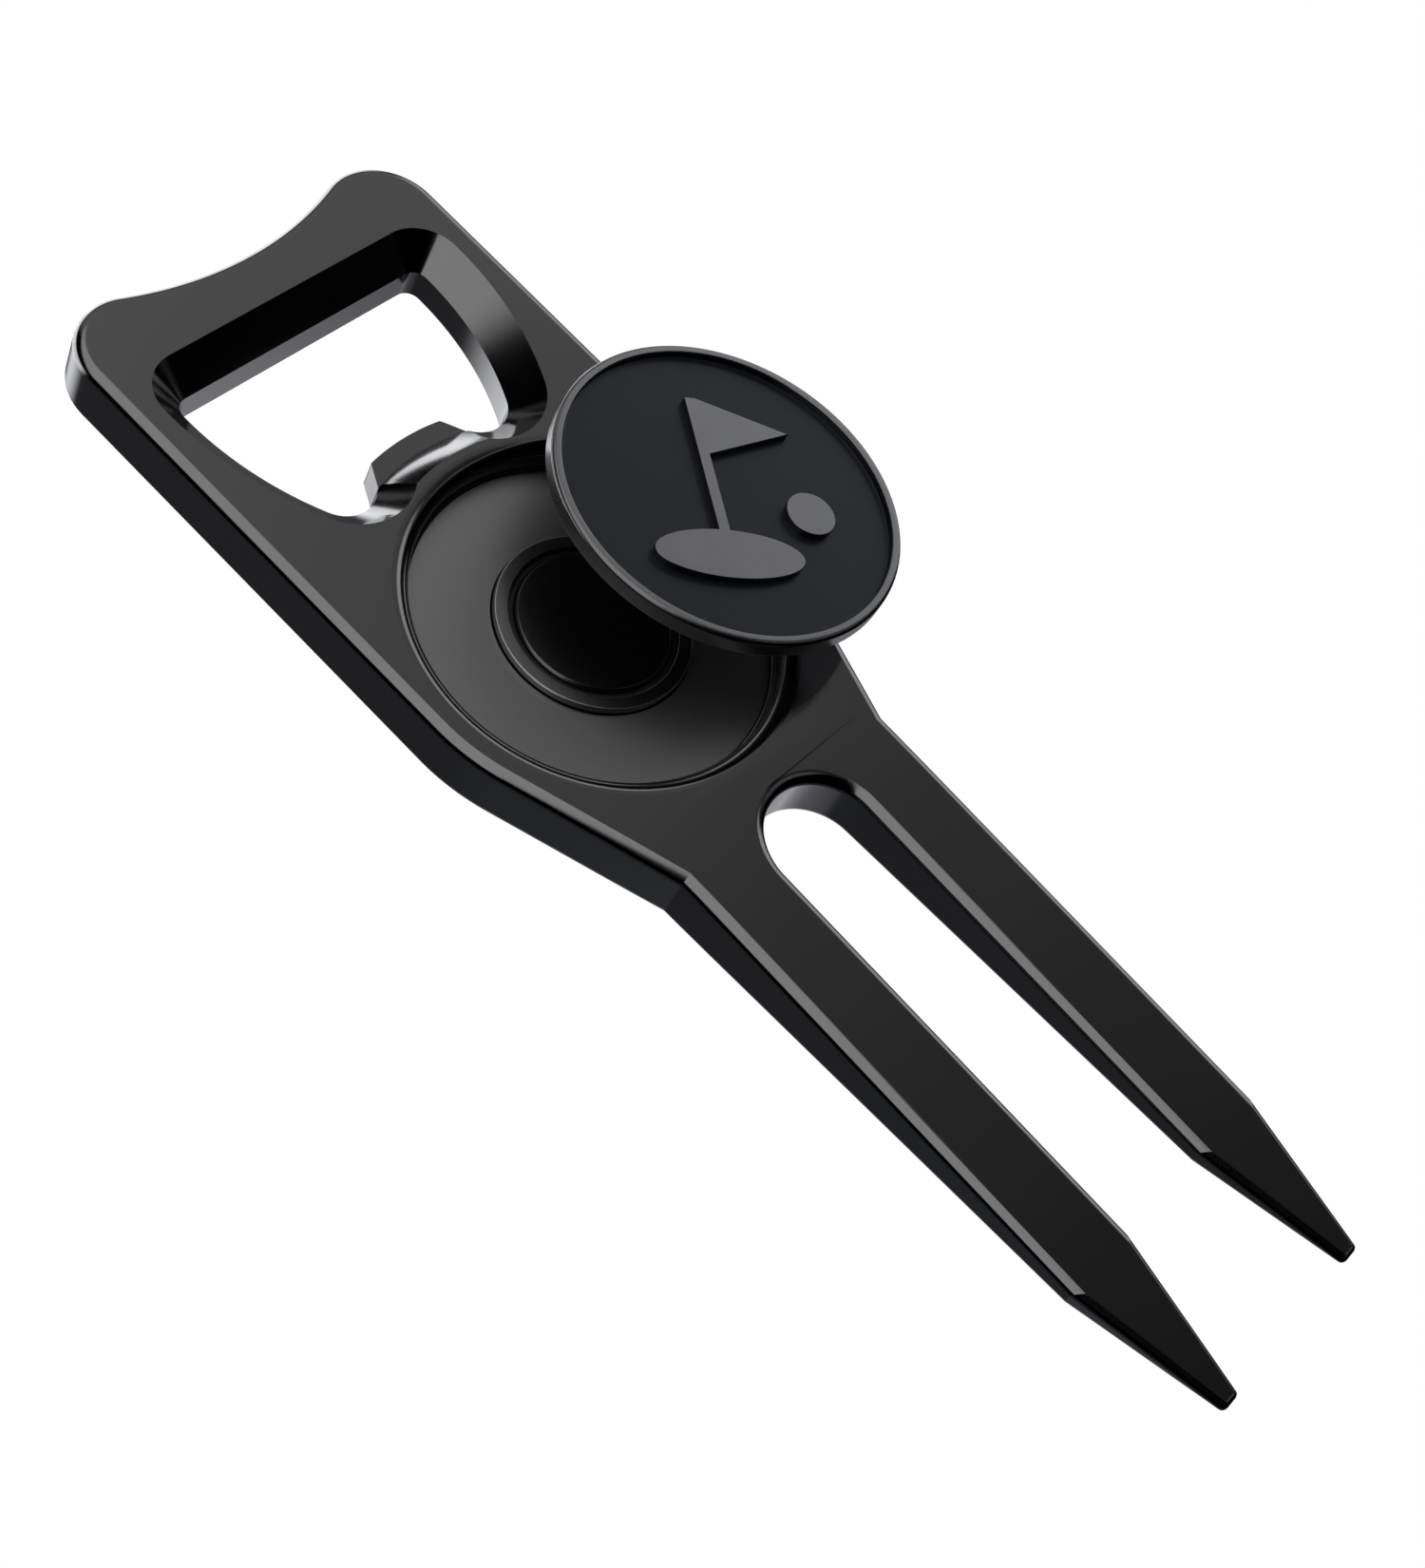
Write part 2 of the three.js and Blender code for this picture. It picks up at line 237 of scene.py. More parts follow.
def turned(name, profile, steps=ROUND_STEPS, centre=(0.0, 0.0)):
    """A solid of revolution: a disc that is extruded and resized along a [radius, height] profile."""
    radius, height = profile[0]
    deselect_all()
    bpy.ops.mesh.primitive_circle_add(
        vertices=steps,
        radius=radius,
        fill_type="NGON",
        location=(centre[0], centre[1], height),
    )
    piece = bpy.context.object
    piece.name = name
    settle(piece)
    edit(piece)
    bpy.ops.mesh.select_all(action="SELECT")
    for next_radius, next_height in profile[1:]:
        grow(z=next_height - height)
        ratio = next_radius / radius
        middle = (centre[0], centre[1], next_height)
        bpy.ops.transform.resize(value=(ratio, ratio, 1), center_override=middle)
        radius, height = next_radius, next_height
    leave_edit()
    tidy_mesh(piece)
    return piece


def arc_profile(centre_radius, centre_height, radius, start, end, steps=6):
    """Profile points on a round, from the start angle to the end angle in degrees."""
    points = []
    for step in range(steps + 1):
        angle = math.radians(start + (end - start) * step / steps)
        points.append((centre_radius + radius * math.cos(angle), centre_height + radius * math.sin(angle)))
    return points


def combine(piece, tool, operation):
    """Joins the tool to the piece or cuts it from the piece, and uses the tool up."""
    choose(piece)
    modifier = piece.modifiers.new("combine", "BOOLEAN")
    modifier.operation = operation
    modifier.solver = "MANIFOLD"
    modifier.object = tool
    bpy.ops.object.modifier_apply(modifier=modifier.name)
    bpy.data.objects.remove(tool)
    return piece


def cut(piece, tool):
    return combine(piece, tool, "DIFFERENCE")


def join(piece, tool):
    return combine(piece, tool, "UNION")


def clear_flats(piece):
    """Dissolves the edges that lie inside flat faces."""
    edit(piece)
    bpy.ops.mesh.select_all(action="SELECT")
    bpy.ops.mesh.dissolve_limited(angle_limit=math.radians(0.05))
    leave_edit()


def at_mitre(edge):
    """True where two strips of wall or rounding meet at a corner of the outline."""
    if len(edge.link_faces) != 2:
        return False
    first, second = (face.normal for face in edge.link_faces)
    if max(abs(first.z), abs(second.z)) > 0.995 or min(first.xy.length, second.xy.length) < 0.05:
        return False
    return first.xy.angle(second.xy) > math.radians(9)


def is_flat_or_wall(face):
    """True for a level or an upright face that isn't a sliver."""
    lean = abs(face.normal.z)
    return face.calc_area() > SLIVER_AREA and (lean > LEVEL or lean < UPRIGHT)


def finish_shading(piece, sharp_angle=40):
    """Smooth shading that keeps flat faces flat and true edges and mitres crisp, and skips slivers."""
    choose(piece)
    bpy.ops.object.shade_smooth_by_angle(angle=math.radians(sharp_angle))
    edit(piece)
    select_edges(piece, at_mitre)
    bpy.ops.mesh.mark_sharp()
    bpy.ops.mesh.select_mode(type="FACE")
    bpy.ops.mesh.select_all(action="SELECT")
    bpy.ops.mesh.mod_weighted_strength(set=True, face_strength="WEAK")
    select_faces(piece, lambda face: face.calc_area() > SLIVER_AREA)
    bpy.ops.mesh.mod_weighted_strength(set=True, face_strength="MEDIUM")
    select_faces(piece, is_flat_or_wall)
    bpy.ops.mesh.mod_weighted_strength(set=True, face_strength="STRONG")
    leave_edit()
    modifier = piece.modifiers.new("weighted_normals", "WEIGHTED_NORMAL")
    modifier.mode = "CORNER_ANGLE"
    modifier.keep_sharp = True
    modifier.use_face_influence = True
    bpy.ops.object.modifier_apply(modifier=modifier.name)


# ---- Blade ----------------------------------------------------------------------------------
def blade_blank():
    """The blade's outline as a plain plate."""
    corner_y = HALF_WIDTH - HEAD_CORNER_RADIUS
    notch_centre_x = HEAD_NOTCH_X - HEAD_NOTCH_RADIUS
    reach = HEAD_NOTCH_RADIUS + HEAD_CORNER_RADIUS
    notch_angle = math.asin(corner_y / reach)
    waist_x = HALF_WIDTH * math.sin(WAIST_TAPER)
    waist_y = HALF_WIDTH * math.cos(WAIST_TAPER)
    shoulder_x = waist_x + (waist_y - PRONG_OUTER_Y) / math.tan(WAIST_TAPER)
    narrowing = POINT_SLOPE * (PRONG_TIP_X - POINT_START_X)

    pen = Pen("blade_metal", HEAD_NOTCH_X, 0, 0)
    pen.arc(notch_centre_x, 0, notch_angle)
    pen.arc(notch_centre_x + reach * math.cos(notch_angle), corner_y, -math.pi / 2 - notch_angle)
    pen.line(0, HALF_WIDTH)
    pen.arc(0, 0, -WAIST_TAPER)
    pen.line(shoulder_x, PRONG_OUTER_Y)
    pen.line(POINT_START_X, PRONG_OUTER_Y)
    pen.line(PRONG_TIP_X, PRONG_OUTER_Y - narrowing)
    pen.line(PRONG_TIP_X, PRONG_INNER_Y + narrowing)
    pen.line(POINT_START_X, PRONG_INNER_Y)
    pen.line(SLOT_END_X, PRONG_INNER_Y)
    pen.arc(SLOT_END_X, 0, math.pi / 2)
    pen.mirror()
    return prism(pen.fill(), THICKNESS)


def slice_off(point, normal):
    """Cuts away what lies on the normal's side of a plane and closes the cut."""
    bpy.ops.mesh.select_all(action="SELECT")
    bpy.ops.mesh.bisect(
        plane_co=Vector(point),
        plane_no=normal,
        use_fill=True,
        clear_outer=True,
        threshold=1e-5,
    )


def wedged_slab():
    """A slab as thick as the blade that is planed down along the prongs, with a soft start."""
    low = Vector((HEAD_NOTCH_X - HEAD_CORNER_RADIUS, -HALF_WIDTH - MARGIN, 0))
    high = Vector((PRONG_TIP_X + MARGIN, HALF_WIDTH + MARGIN, THICKNESS))
    deselect_all()
    bpy.ops.mesh.primitive_cube_add(size=1, location=(low + high) / 2)
    slab = bpy.context.object
    slab.name = "slab"
    slab.scale = high - low
    settle(slab)
    edit(slab)
    start_x = WEDGE_START_X - WEDGE_BLEND
    for step in range(1, WEDGE_STEPS + 1):
        slope = WEDGE_SLOPE * step / WEDGE_STEPS
        run = 2 * WEDGE_BLEND * step / WEDGE_STEPS
        fall = WEDGE_SLOPE * run**2 / (4 * WEDGE_BLEND)
        slice_off((start_x + run, 0, THICKNESS - fall), (slope, 0, 1))
        slice_off((start_x + run, 0, fall), (slope, 0, -1))
    leave_edit()
    tidy_mesh(slab)
    return slab


def divide_points(blade):
    """Adds edges across the prong points, so that their rounding can fade, and merges near corners."""
    edit(blade)
    bpy.ops.mesh.select_all(action="SELECT")
    bpy.ops.mesh.remove_doubles(threshold=NEAR_POINTS)
    for part in range(1, POINT_PARTS):
        x = POINT_START_X + (PRONG_TIP_X - POINT_START_X) * part / POINT_PARTS
        bpy.ops.mesh.select_all(action="SELECT")
        bpy.ops.mesh.bisect(plane_co=(x, 0, 0), plane_no=(1, 0, 0), threshold=1e-5)
    leave_edit()


def edge_side(edge):
    """+1 for an edge between the face and a wall, -1 between the back and a wall, 0 for any other."""
    if len(edge.link_faces) != 2:
        return 0
    heights = sorted((face.normal.z for face in edge.link_faces), key=abs)
    if abs(heights[0]) > 0.3 or abs(heights[1]) < 0.9:
        return 0
    return 1 if heights[1] > 0 else -1


def fading(x):
    """How much of the full rounding is left at x along a prong point."""
    along = max(0.0, (x - POINT_START_X) / (PRONG_TIP_X - POINT_START_X))
    return 1 - 0.5 * along


def round_outer_edges(blade):
    """Rounds the face and the back edges all round, less towards the tips."""
    edit(blade)
    mesh = bmesh.from_edit_mesh(blade.data)
    weights = mesh.edges.layers.float.get("bevel_weight_edge")
    if weights is None:
        weights = mesh.edges.layers.float.new("bevel_weight_edge")
    for edge in mesh.edges:
        side = edge_side(edge)
        middle = (edge.verts[0].co + edge.verts[1].co) / 2
        if side:
            radius = FACE_ROUND if side > 0 else BACK_ROUND
            edge[weights] = radius / FACE_ROUND * fading(middle.x)
        elif middle.x > PRONG_TIP_X - 0.01 and abs((edge.verts[0].co - edge.verts[1].co).z) > 0.3:
            edge[weights] = TIP_ROUND / FACE_ROUND
    bmesh.update_edit_mesh(blade.data)
    leave_edit()
    choose(blade)
    modifier = blade.modifiers.new("rounding", "BEVEL")
    modifier.limit_method = "WEIGHT"
    modifier.width = FACE_ROUND
    modifier.segments = ROUNDING_SEGMENTS
    modifier.use_clamp_overlap = False
    bpy.ops.object.modifier_apply(modifier=modifier.name)


def lobe_centre():
    reach = BARREL_RADIUS - LOBE_RADIUS
    across = LOBE_CENTRE_Y - BARREL_CENTRE.y
    return Vector((BARREL_CENTRE.x + math.sqrt(reach**2 - across**2), LOBE_CENTRE_Y))


def barrel_outline(z, flare):
    """The window without its lug, made larger all round by the flare, filled at height z."""
    radius = BARREL_RADIUS + flare
    far_x = WINDOW_FAR_X - flare
    corner = WINDOW_CORNER_RADIUS + flare
    lobe = lobe_centre()
    reach = radius - corner
    corner_x = far_x + corner
    corner_y = BARREL_CENTRE.y + math.sqrt(reach**2 - (corner_x - BARREL_CENTRE.x) ** 2)
    start_angle = math.atan2(corner_y - BARREL_CENTRE.y, corner_x - BARREL_CENTRE.x)
    touch_angle = math.atan2(lobe.y - BARREL_CENTRE.y, lobe.x - BARREL_CENTRE.x)
    pen = Pen("window", far_x, 0, z)
    pen.line(far_x, corner_y)
    pen.arc(corner_x, corner_y, start_angle - math.pi, CORNER_STEPS)
    pen.arc(BARREL_CENTRE.x, BARREL_CENTRE.y, touch_angle - start_angle, BARREL_STEPS)
    pen.arc(lobe.x, lobe.y, -touch_angle - LOBE_TURN, LOBE_ARC_STEPS)
    pen.line(pen.point.x, 0)
    pen.mirror()
    return pen.fill()


def window_barrel():
    """The window's 45 degree upper half and upright lower half, in one piece."""
    flare = THICKNESS - WINDOW_STEP_Z + MARGIN
    piece = barrel_outline(THICKNESS + MARGIN, flare)
    bpy.ops.mesh.select_all(action="SELECT")
    grow()
    bpy.ops.mesh.inset(thickness=flare, depth=0)
    bpy.ops.transform.translate(value=(0, 0, -flare))
    grow(z=-WINDOW_STEP_Z - MARGIN)
    leave_edit()
    tidy_mesh(piece)
    return piece


def lug_solid():
    """The opener's lug: its tip is an arc about the recess, and its sides spread to the root."""
    tip_angle = math.asin(LUG_TIP_HALF_WIDTH / LUG_TIP_RADIUS)
    pen = Pen("lug", -LUG_TIP_RADIUS, 0, -2 * MARGIN)
    pen.arc(0, 0, -tip_angle, 10)
    pen.line(-LUG_TIP_RADIUS * math.cos(tip_angle) + LUG_CORNER, LUG_TIP_HALF_WIDTH + LUG_CORNER)
    pen.line(LUG_ROOT_X, LUG_ROOT_HALF_WIDTH)
    pen.line(LUG_ROOT_X, 0)
    pen.mirror()
    return prism(pen.fill(), LUG_TOP_Z + 2 * MARGIN)


def root_cone():
    """The sloping wall behind the lug, with a small rounded riser at its foot."""
    top = THICKNESS + MARGIN
    rise = THICKNESS - RISER_TOP_Z
    slope = (LUG_ROOT_RADIUS - ROOT_TOP_RADIUS) / rise
    foot = [(LUG_ROOT_RADIUS, -MARGIN), (LUG_ROOT_RADIUS, RISER_TOP_Z - RISER_ROUND)]
    eased = (LUG_ROOT_RADIUS - slope * RISER_ROUND, RISER_TOP_Z + RISER_ROUND)
    middle = ((foot[1][0] * 2 + eased[0]) / 3, RISER_TOP_Z)
    return turned("root_cone", [*foot, middle, eased, (ROOT_TOP_RADIUS - slope * MARGIN, top)])


def open_window(blade):
    """Cuts the window, which leaves the lug standing, and then lets its lobes into the root."""
    step = WINDOW_STEP_Z
    top = THICKNESS + MARGIN
    window = window_barrel()
    cut(window, root_cone())
    cut(window, lug_solid())
    cut(blade, window)
    lobe = lobe_centre()
    # The lobes are a hair smaller than the window's own, so that no two surfaces run together.
    radius = LOBE_RADIUS - LOBE_PLAY
    for side in (-1, 1):
        profile = [(radius, -MARGIN), (radius, step), (radius + top - step, top)]
        cut(blade, turned("lobe", profile, LOBE_ROUND_STEPS, (lobe.x, side * lobe.y)))


def recess_cutter():
    """The recess with its rounded rim, and the pocket that takes the magnet's cup."""
    rim = []
    steps = 10
    for step in range(steps + 1):
        angle = math.pi / 2 * step / steps
        radius = RECESS_RADIUS + RIM_WIDTH * (1 - math.cos(angle))
        rim.append((radius, THICKNESS - RIM_DROP * (1 - math.sin(angle))))
    profile = [(RECESS_RADIUS - 0.25, RECESS_FLOOR_Z)]
    profile += arc_profile(RECESS_RADIUS - 0.25, RECESS_FLOOR_Z + 0.25, 0.25, -75, 0, 5)
    profile += rim
    profile.append((RECESS_RADIUS + RIM_WIDTH, THICKNESS + MARGIN))
    recess = turned("recess", profile)
    pocket_radius = CUP_HIGH.x + 0.1
    pocket = [(pocket_radius, CUP_LOW.z - 0.1), (pocket_radius, THICKNESS)]
    return join(recess, turned("pocket", pocket))


def make_blade():
    blade = blade_blank()
    combine(blade, wedged_slab(), "INTERSECT")
    clear_flats(blade)
    divide_points(blade)
    round_outer_edges(blade)
    open_window(blade)
    cut(blade, recess_cutter())
    clear_flats(blade)
    finish_shading(blade)
    return blade


# ---- Magnet, cup and adhesive ---------------------------------------------------------------
def make_cup():
    """A steel cup with broken edges, whose rim stands above the floor of the recess."""
    outer = CUP_HIGH.x
    inner = GLUE_HIGH.x + 0.05
    top = CUP_HIGH.z
    floor = GLUE_LOW.z - 0.05
    edge = 0.12
    profile = [(outer - edge, CUP_LOW.z), (outer, CUP_LOW.z + edge)]
    profile += arc_profile(outer - edge, top - edge, edge, 0, 90, 5)
    profile += arc_profile(inner + edge, top - edge, edge, 90, 180, 5)
    profile += [(inner, floor)]
    cup = turned("steel_cup", profile)
    finish_shading(cup)
    return cup


def make_magnet():
    """A plated disc with a small bright chamfer."""
    radius = MAGNET_HIGH.x
    top = MAGNET_HIGH.z
    chamfer = 0.14
    soft = 0.03
    magnet = turned("magnet", [
        (radius, MAGNET_LOW.z),
        (radius, top - chamfer - soft),
        (radius - soft, top - chamfer + soft),
        (radius - chamfer + soft, top - soft),
        (radius - chamfer - soft, top),
    ])
    finish_shading(magnet, 25)
    return magnet


def make_adhesive():
    """The resin bed, which wells up round the magnet with a hollow surface."""
    outer = GLUE_HIGH.x
    inner = MAGNET_HIGH.x + 0.05
    top = GLUE_HIGH.z
    bed = MAGNET_LOW.z - 0.05
    sag = 0.08
    middle = (outer + inner) / 2
    adhesive = turned("resin_bed", [
        (outer, GLUE_LOW.z),
        (outer, top),
        ((outer + middle) / 2, top - sag),
        ((inner + middle) / 2, top - sag),
        (inner, top),
        (inner, bed),
    ])
    finish_shading(adhesive)
    return adhesive


# ---- Ball marker ----------------------------------------------------------------------------
MARKER_RADIUS = frame_box("marker_coin")[1].x
MARKER_THICKNESS = 1.4
MARKER_RIM = 0.66
MARKER_FIELD_Z = 0.7
MARKER_TILT = math.radians(4.28)
MARKER_SPIN = math.radians(54)
ENAMEL_TOP_Z = 0.88
ENAMEL_IOR = 1.34
STICK_X = -1.2
STICK_HALF_WIDTH = 0.38
STICK_BOTTOM = -4.6
STICK_TOP = 7.4
PENNANT_LENGTH = 6.2
PENNANT_DROP = 4.6
HOLE_CENTRE = (-1.2, -5.2)
HOLE_RADII = (5.2, 1.9)
BALL_CENTRE = (5.4, -1.4)
BALL_RADIUS = 1.7
RELIEF_EDGE = 0.04


def place_on_marker(piece):
    """Puts a piece that was modelled on the marker's flat underside into the lifted marker's place."""
    low, high = frame_box("marker_coin")
    middle = Matrix.Translation((low + high) / 2)
    turn = Matrix.Rotation(-MARKER_TILT, 4, "X") @ Matrix.Rotation(MARKER_SPIN, 4, "Z")
    piece.matrix_world = middle @ turn @ Matrix.Translation((0, 0, -MARKER_THICKNESS / 2))
    settle(piece)


def blunt_top(piece):
    """Rounds the upper edges of a raised emblem piece."""
    edit(piece)
    top = max(vertex.co.z for vertex in piece.data.vertices)

    def on_top_rim(edge):
        level = all(abs(vertex.co.z - top) < 0.01 for vertex in edge.verts)
        return level and edge.calc_face_angle(0) > math.radians(60)

    select_edges(piece, on_top_rim)
    bpy.ops.mesh.bevel(offset=RELIEF_EDGE, offset_type="OFFSET", segments=3, profile=0.5)
    leave_edit()


def emblem_flag():
    """A flagstick with its pennant."""
    right = STICK_X + STICK_HALF_WIDTH
    left = STICK_X - STICK_HALF_WIDTH
    pen = Pen("emblem_flag", left, STICK_BOTTOM, MARKER_FIELD_Z / 2)
    pen.line(right, STICK_BOTTOM)
    pen.line(right, STICK_TOP - PENNANT_DROP)
    pen.line(right + PENNANT_LENGTH, STICK_TOP - PENNANT_DROP / 2)
    pen.line(right, STICK_TOP)
    pen.line(left, STICK_TOP)
    pen.line(left, STICK_BOTTOM)
    return prism(pen.fill(), MARKER_THICKNESS - MARKER_FIELD_Z / 2)


def emblem_disc(name, centre, radii):
    base = MARKER_FIELD_Z / 2
    disc = turned(name, [(radii[0], base), (radii[0], MARKER_THICKNESS)], 64, centre)
    choose(disc)
    disc.scale.y = radii[1] / radii[0]
    disc.location.y = centre[1] * (1 - disc.scale.y)
    settle(disc)
    return disc


def make_emblem():
    """The raised golf emblem: a flag in its hole, with a ball beside it."""
    flag = emblem_flag()
    join(flag, emblem_disc("emblem_hole", HOLE_CENTRE, HOLE_RADII))
    join(flag, emblem_disc("emblem_ball", BALL_CENTRE, (BALL_RADIUS, BALL_RADIUS)))
    clear_flats(flag)
    blunt_top(flag)
    return flag


def make_coin():
    """The struck disc: a flat rim with rounded edges round a sunk field, and the raised emblem."""
    radius = MARKER_RADIUS
    inner = radius - MARKER_RIM
    top = MARKER_THICKNESS
    low_edge = 0.2
    high_edge = 0.3
    lip = 0.1
    profile = arc_profile(radius - low_edge, low_edge, low_edge, -88, 0)
    profile += arc_profile(radius - high_edge, top - high_edge, high_edge, 0, 90, 8)
    profile += arc_profile(inner + lip, top - lip, lip, 90, 180, 4)
    profile += [(inner, MARKER_FIELD_Z)]
    coin = turned("struck_coin", profile)
    emblem = make_emblem()
    emblem.select_set(True)
    coin.select_set(True)
    bpy.context.view_layer.objects.active = coin
    bpy.ops.object.join()
    finish_shading(coin)
    place_on_marker(coin)
    return coin


def make_enamel():
    """The enamel fill, which climbs a little at the rim."""
    edge = MARKER_RADIUS - MARKER_RIM - 0.02
    climb = 0.05
    enamel = turned("enamel_fill", [
        (edge, MARKER_FIELD_Z + 0.02),
        (edge, ENAMEL_TOP_Z + climb),
        (edge - 0.12, ENAMEL_TOP_Z + climb / 3),
        (edge - 0.3, ENAMEL_TOP_Z),
    ])
    finish_shading(enamel)
    place_on_marker(enamel)
    return enamel


# ---- Shader helpers -------------------------------------------------------------------------
class Signal:
    """A node's output that takes part in Python arithmetic."""

    def __init__(self, nodes, socket):
        self.nodes = nodes
        self.socket = socket

    def math(self, operation, *others):
        return self.nodes.add("ShaderNodeMath", {"operation": operation}, [self, *others])

    def __add__(self, other):
        return self.math("ADD", other)

    def __sub__(self, other):
        return self.math("SUBTRACT", other)

    def __rsub__(self, other):
        return self.nodes.add("ShaderNodeMath", {"operation": "SUBTRACT"}, [other, self])

    def __mul__(self, other):
        return self.math("MULTIPLY", other)

    def __truediv__(self, other):
        return self.math("DIVIDE", other)

    __radd__ = __add__
    __rmul__ = __mul__


class Nodes:
    """Adds nodes to one tree."""

    def __init__(self, tree):
        self.tree = tree
        tree.nodes.clear()

    def add(self, kind, settings=None, inputs=None, output=0):
        """One node of a kind: its settings first, then a list or a dict of its inputs."""
        node = self.tree.nodes.new(kind)
        for name, value in (settings or {}).items():
            if name == "stops":
                self.set_stops(node.color_ramp, value)
            else:
                setattr(node, name, value)
        pairs = inputs.items() if isinstance(inputs, dict) else enumerate(inputs or [])
        for key, value in pairs:
            if isinstance(value, Signal):
                self.tree.links.new(value.socket, node.inputs[key])
            else:
                node.inputs[key].default_value = value
        return Signal(self, node.outputs[output]) if node.outputs else node

    @staticmethod
    def set_stops(ramp, stops):
        while len(ramp.elements) < len(stops):
            ramp.elements.new(1.0)
        for element, (place, colour) in zip(ramp.elements, stops):
            element.position = place
            element.color = colour if len(colour) == 4 else (*colour, 1.0)

    def millimetres(self):
        """Object coordinates, counted in millimetres."""
        here = self.add("ShaderNodeTexCoord", output="Object")
        return self.add("ShaderNodeVectorMath", {"operation": "SCALE"}, {"Vector": here, "Scale": 1 / MM})

    def distance_from_axis(self, place):
        """How far a place is from the upright line through the middle of the recess."""
        flat = self.add("ShaderNodeVectorMath", {"operation": "MULTIPLY"}, [place, (1, 1, 0)])
        return self.add("ShaderNodeVectorMath", {"operation": "LENGTH"}, [flat], output="Value")

    def noise(self, place, per_mm, detail=3.0, roughness=0.5):
        settings = {"noise_dimensions": "3D"}
        inputs = {"Vector": place, "Scale": per_mm, "Detail": detail, "Roughness": roughness}
        return self.add("ShaderNodeTexNoise", settings, inputs)

    def blend(self, factor, first, second):
        inputs = {"Factor": factor, 6: (*first, 1.0), 7: (*second, 1.0)}
        return self.add("ShaderNodeMix", {"data_type": "RGBA"}, inputs, output=2)

    def smooth_range(self, value, low, high, start=0.0, end=1.0):
        settings = {"interpolation_type": "SMOOTHSTEP"}
        inputs = {"Value": value, "From Min": low, "From Max": high, "To Min": start, "To Max": end}
        return self.add("ShaderNodeMapRange", settings, inputs)

    def bump(self, height, strength, distance_mm):
        inputs = {"Strength": strength, "Distance": distance_mm * MM, "Height": height}
        return self.add("ShaderNodeBump", None, inputs)


def finish(name, build):
    """A material whose build function returns the inputs of its Principled shader."""
    material = bpy.data.materials.new(name)
    material.use_nodes = True
    nodes = Nodes(material.node_tree)
    shader = nodes.add("ShaderNodeBsdfPrincipled", None, build(nodes))
    nodes.add("ShaderNodeOutputMaterial", None, {"Surface": shader})
    return material


def dress(piece, material, body, slot, *cad_nodes):
    """Shrinks a finished piece to metres, gives it its material and its body, and hides the CAD nodes that
    it stands for.
    """
    to_metres(piece)
    piece.data.materials.clear()
    piece.data.materials.append(material)
    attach(piece, body)
    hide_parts(*cad_nodes)


# ---- Materials ------------------------------------------------------------------------------
def black_plating(nodes):
    """Smooth black plating with faint cloudy gloss, duller on the floor of the recess, where the colour is
    also painted paler as painted light for the brighter reflection there.
    """
    place = nodes.millimetres()
    parts = nodes.add("ShaderNodeSeparateXYZ", None, [place]).socket.node.outputs
    height = Signal(nodes, parts["Z"])
    radius = nodes.distance_from_axis(place)
    in_recess = 1 - nodes.smooth_range(radius, RECESS_RADIUS - 0.35, RECESS_RADIUS - 0.1)
    floor_gloss_and_painted_light = in_recess * nodes.smooth_range(height, RECESS_FLOOR_Z - 0.1, RECESS_FLOOR_Z - 0.02)
    cloud = nodes.noise(place, 0.12, 2.0)
    grain = nodes.noise(place, 6.0, 2.0)
    return {
        # Painted light: the recess floor gets a paler colour, standing in for the brighter reflection that
        # its duller gloss catches.
        "Base Color": nodes.blend(floor_gloss_and_painted_light, (0.2, 0.2, 0.2), (0.24, 0.24, 0.24)),
        "Metallic": 1.0,
        "Roughness": 0.1 + cloud * 0.03 + grain * 0.02 + floor_gloss_and_painted_light * 0.3,
        "Normal": nodes.bump(grain, 0.01, 0.01),
    }


def turned_steel(nodes):
    """Steel with fine turning rings about the magnet's axis."""
    place = nodes.millimetres()
    settings = {"noise_dimensions": "1D"}
    inputs = {"W": nodes.distance_from_axis(place), "Scale": 14.0, "Detail": 2.0}
    rings = nodes.add("ShaderNodeTexNoise", settings, inputs)
    cloud = nodes.noise(place, 0.5, 2.0)
    return {
        "Base Color": nodes.blend(cloud, (0.25, 0.25, 0.26), (0.32, 0.32, 0.33)),
        "Metallic": 1.0,
        "Roughness": 0.18 + rings * 0.12,
        "Normal": nodes.bump(rings, 0.08, 0.02),
    }


def dark_nickel(nodes):
    """The magnet's dark, slightly pitted plating."""
    place = nodes.millimetres()
    cloud = nodes.noise(place, 0.8, 3.0)
    pits = nodes.noise(place, 9.0, 2.0)
    return {
        "Base Color": nodes.blend(cloud, (0.1, 0.1, 0.105), (0.14, 0.14, 0.145)),
        "Metallic": 1.0,
        "Roughness": 0.2 + pits * 0.1,
        "Normal": nodes.bump(pits, 0.05, 0.02),
    }


def cured_resin(nodes):
    """Dark resin with a glossy, uneven surface."""
    place = nodes.millimetres()
    cloud = nodes.noise(place, 1.5, 3.0)
    return {
        "Base Color": nodes.blend(cloud, (0.012, 0.011, 0.01), (0.022, 0.02, 0.017)),
        "Roughness": 0.25 + cloud * 0.15,
        "Normal": nodes.bump(cloud, 0.3, 0.05),
    }


def struck_metal(nodes):
    """Dark struck metal, a little softer in gloss than the blade."""
    place = nodes.millimetres()
    cloud = nodes.noise(place, 0.4, 2.0)
    grain = nodes.noise(place, 8.0, 3.0)
    return {
        "Base Color": nodes.blend(cloud, (0.175, 0.175, 0.18), (0.205, 0.205, 0.21)),
        "Metallic": 1.0,
        "Roughness": 0.2 + grain * 0.1,
        "Normal": nodes.bump(grain, 0.05, 0.02),
    }


def dark_enamel(nodes):
    """Blue-black enamel with a faint orange-peel surface."""
    place = nodes.millimetres()
    cloud = nodes.noise(place, 0.3, 2.0)
    peel = nodes.noise(place, 3.0, 1.0)
    return {
        "Base Color": nodes.blend(cloud, (0.006, 0.008, 0.012), (0.009, 0.011, 0.016)),
        "Roughness": 0.3 + peel * 0.08,
        "IOR": ENAMEL_IOR,
        "Normal": nodes.bump(peel, 0.05, 0.05),
    }


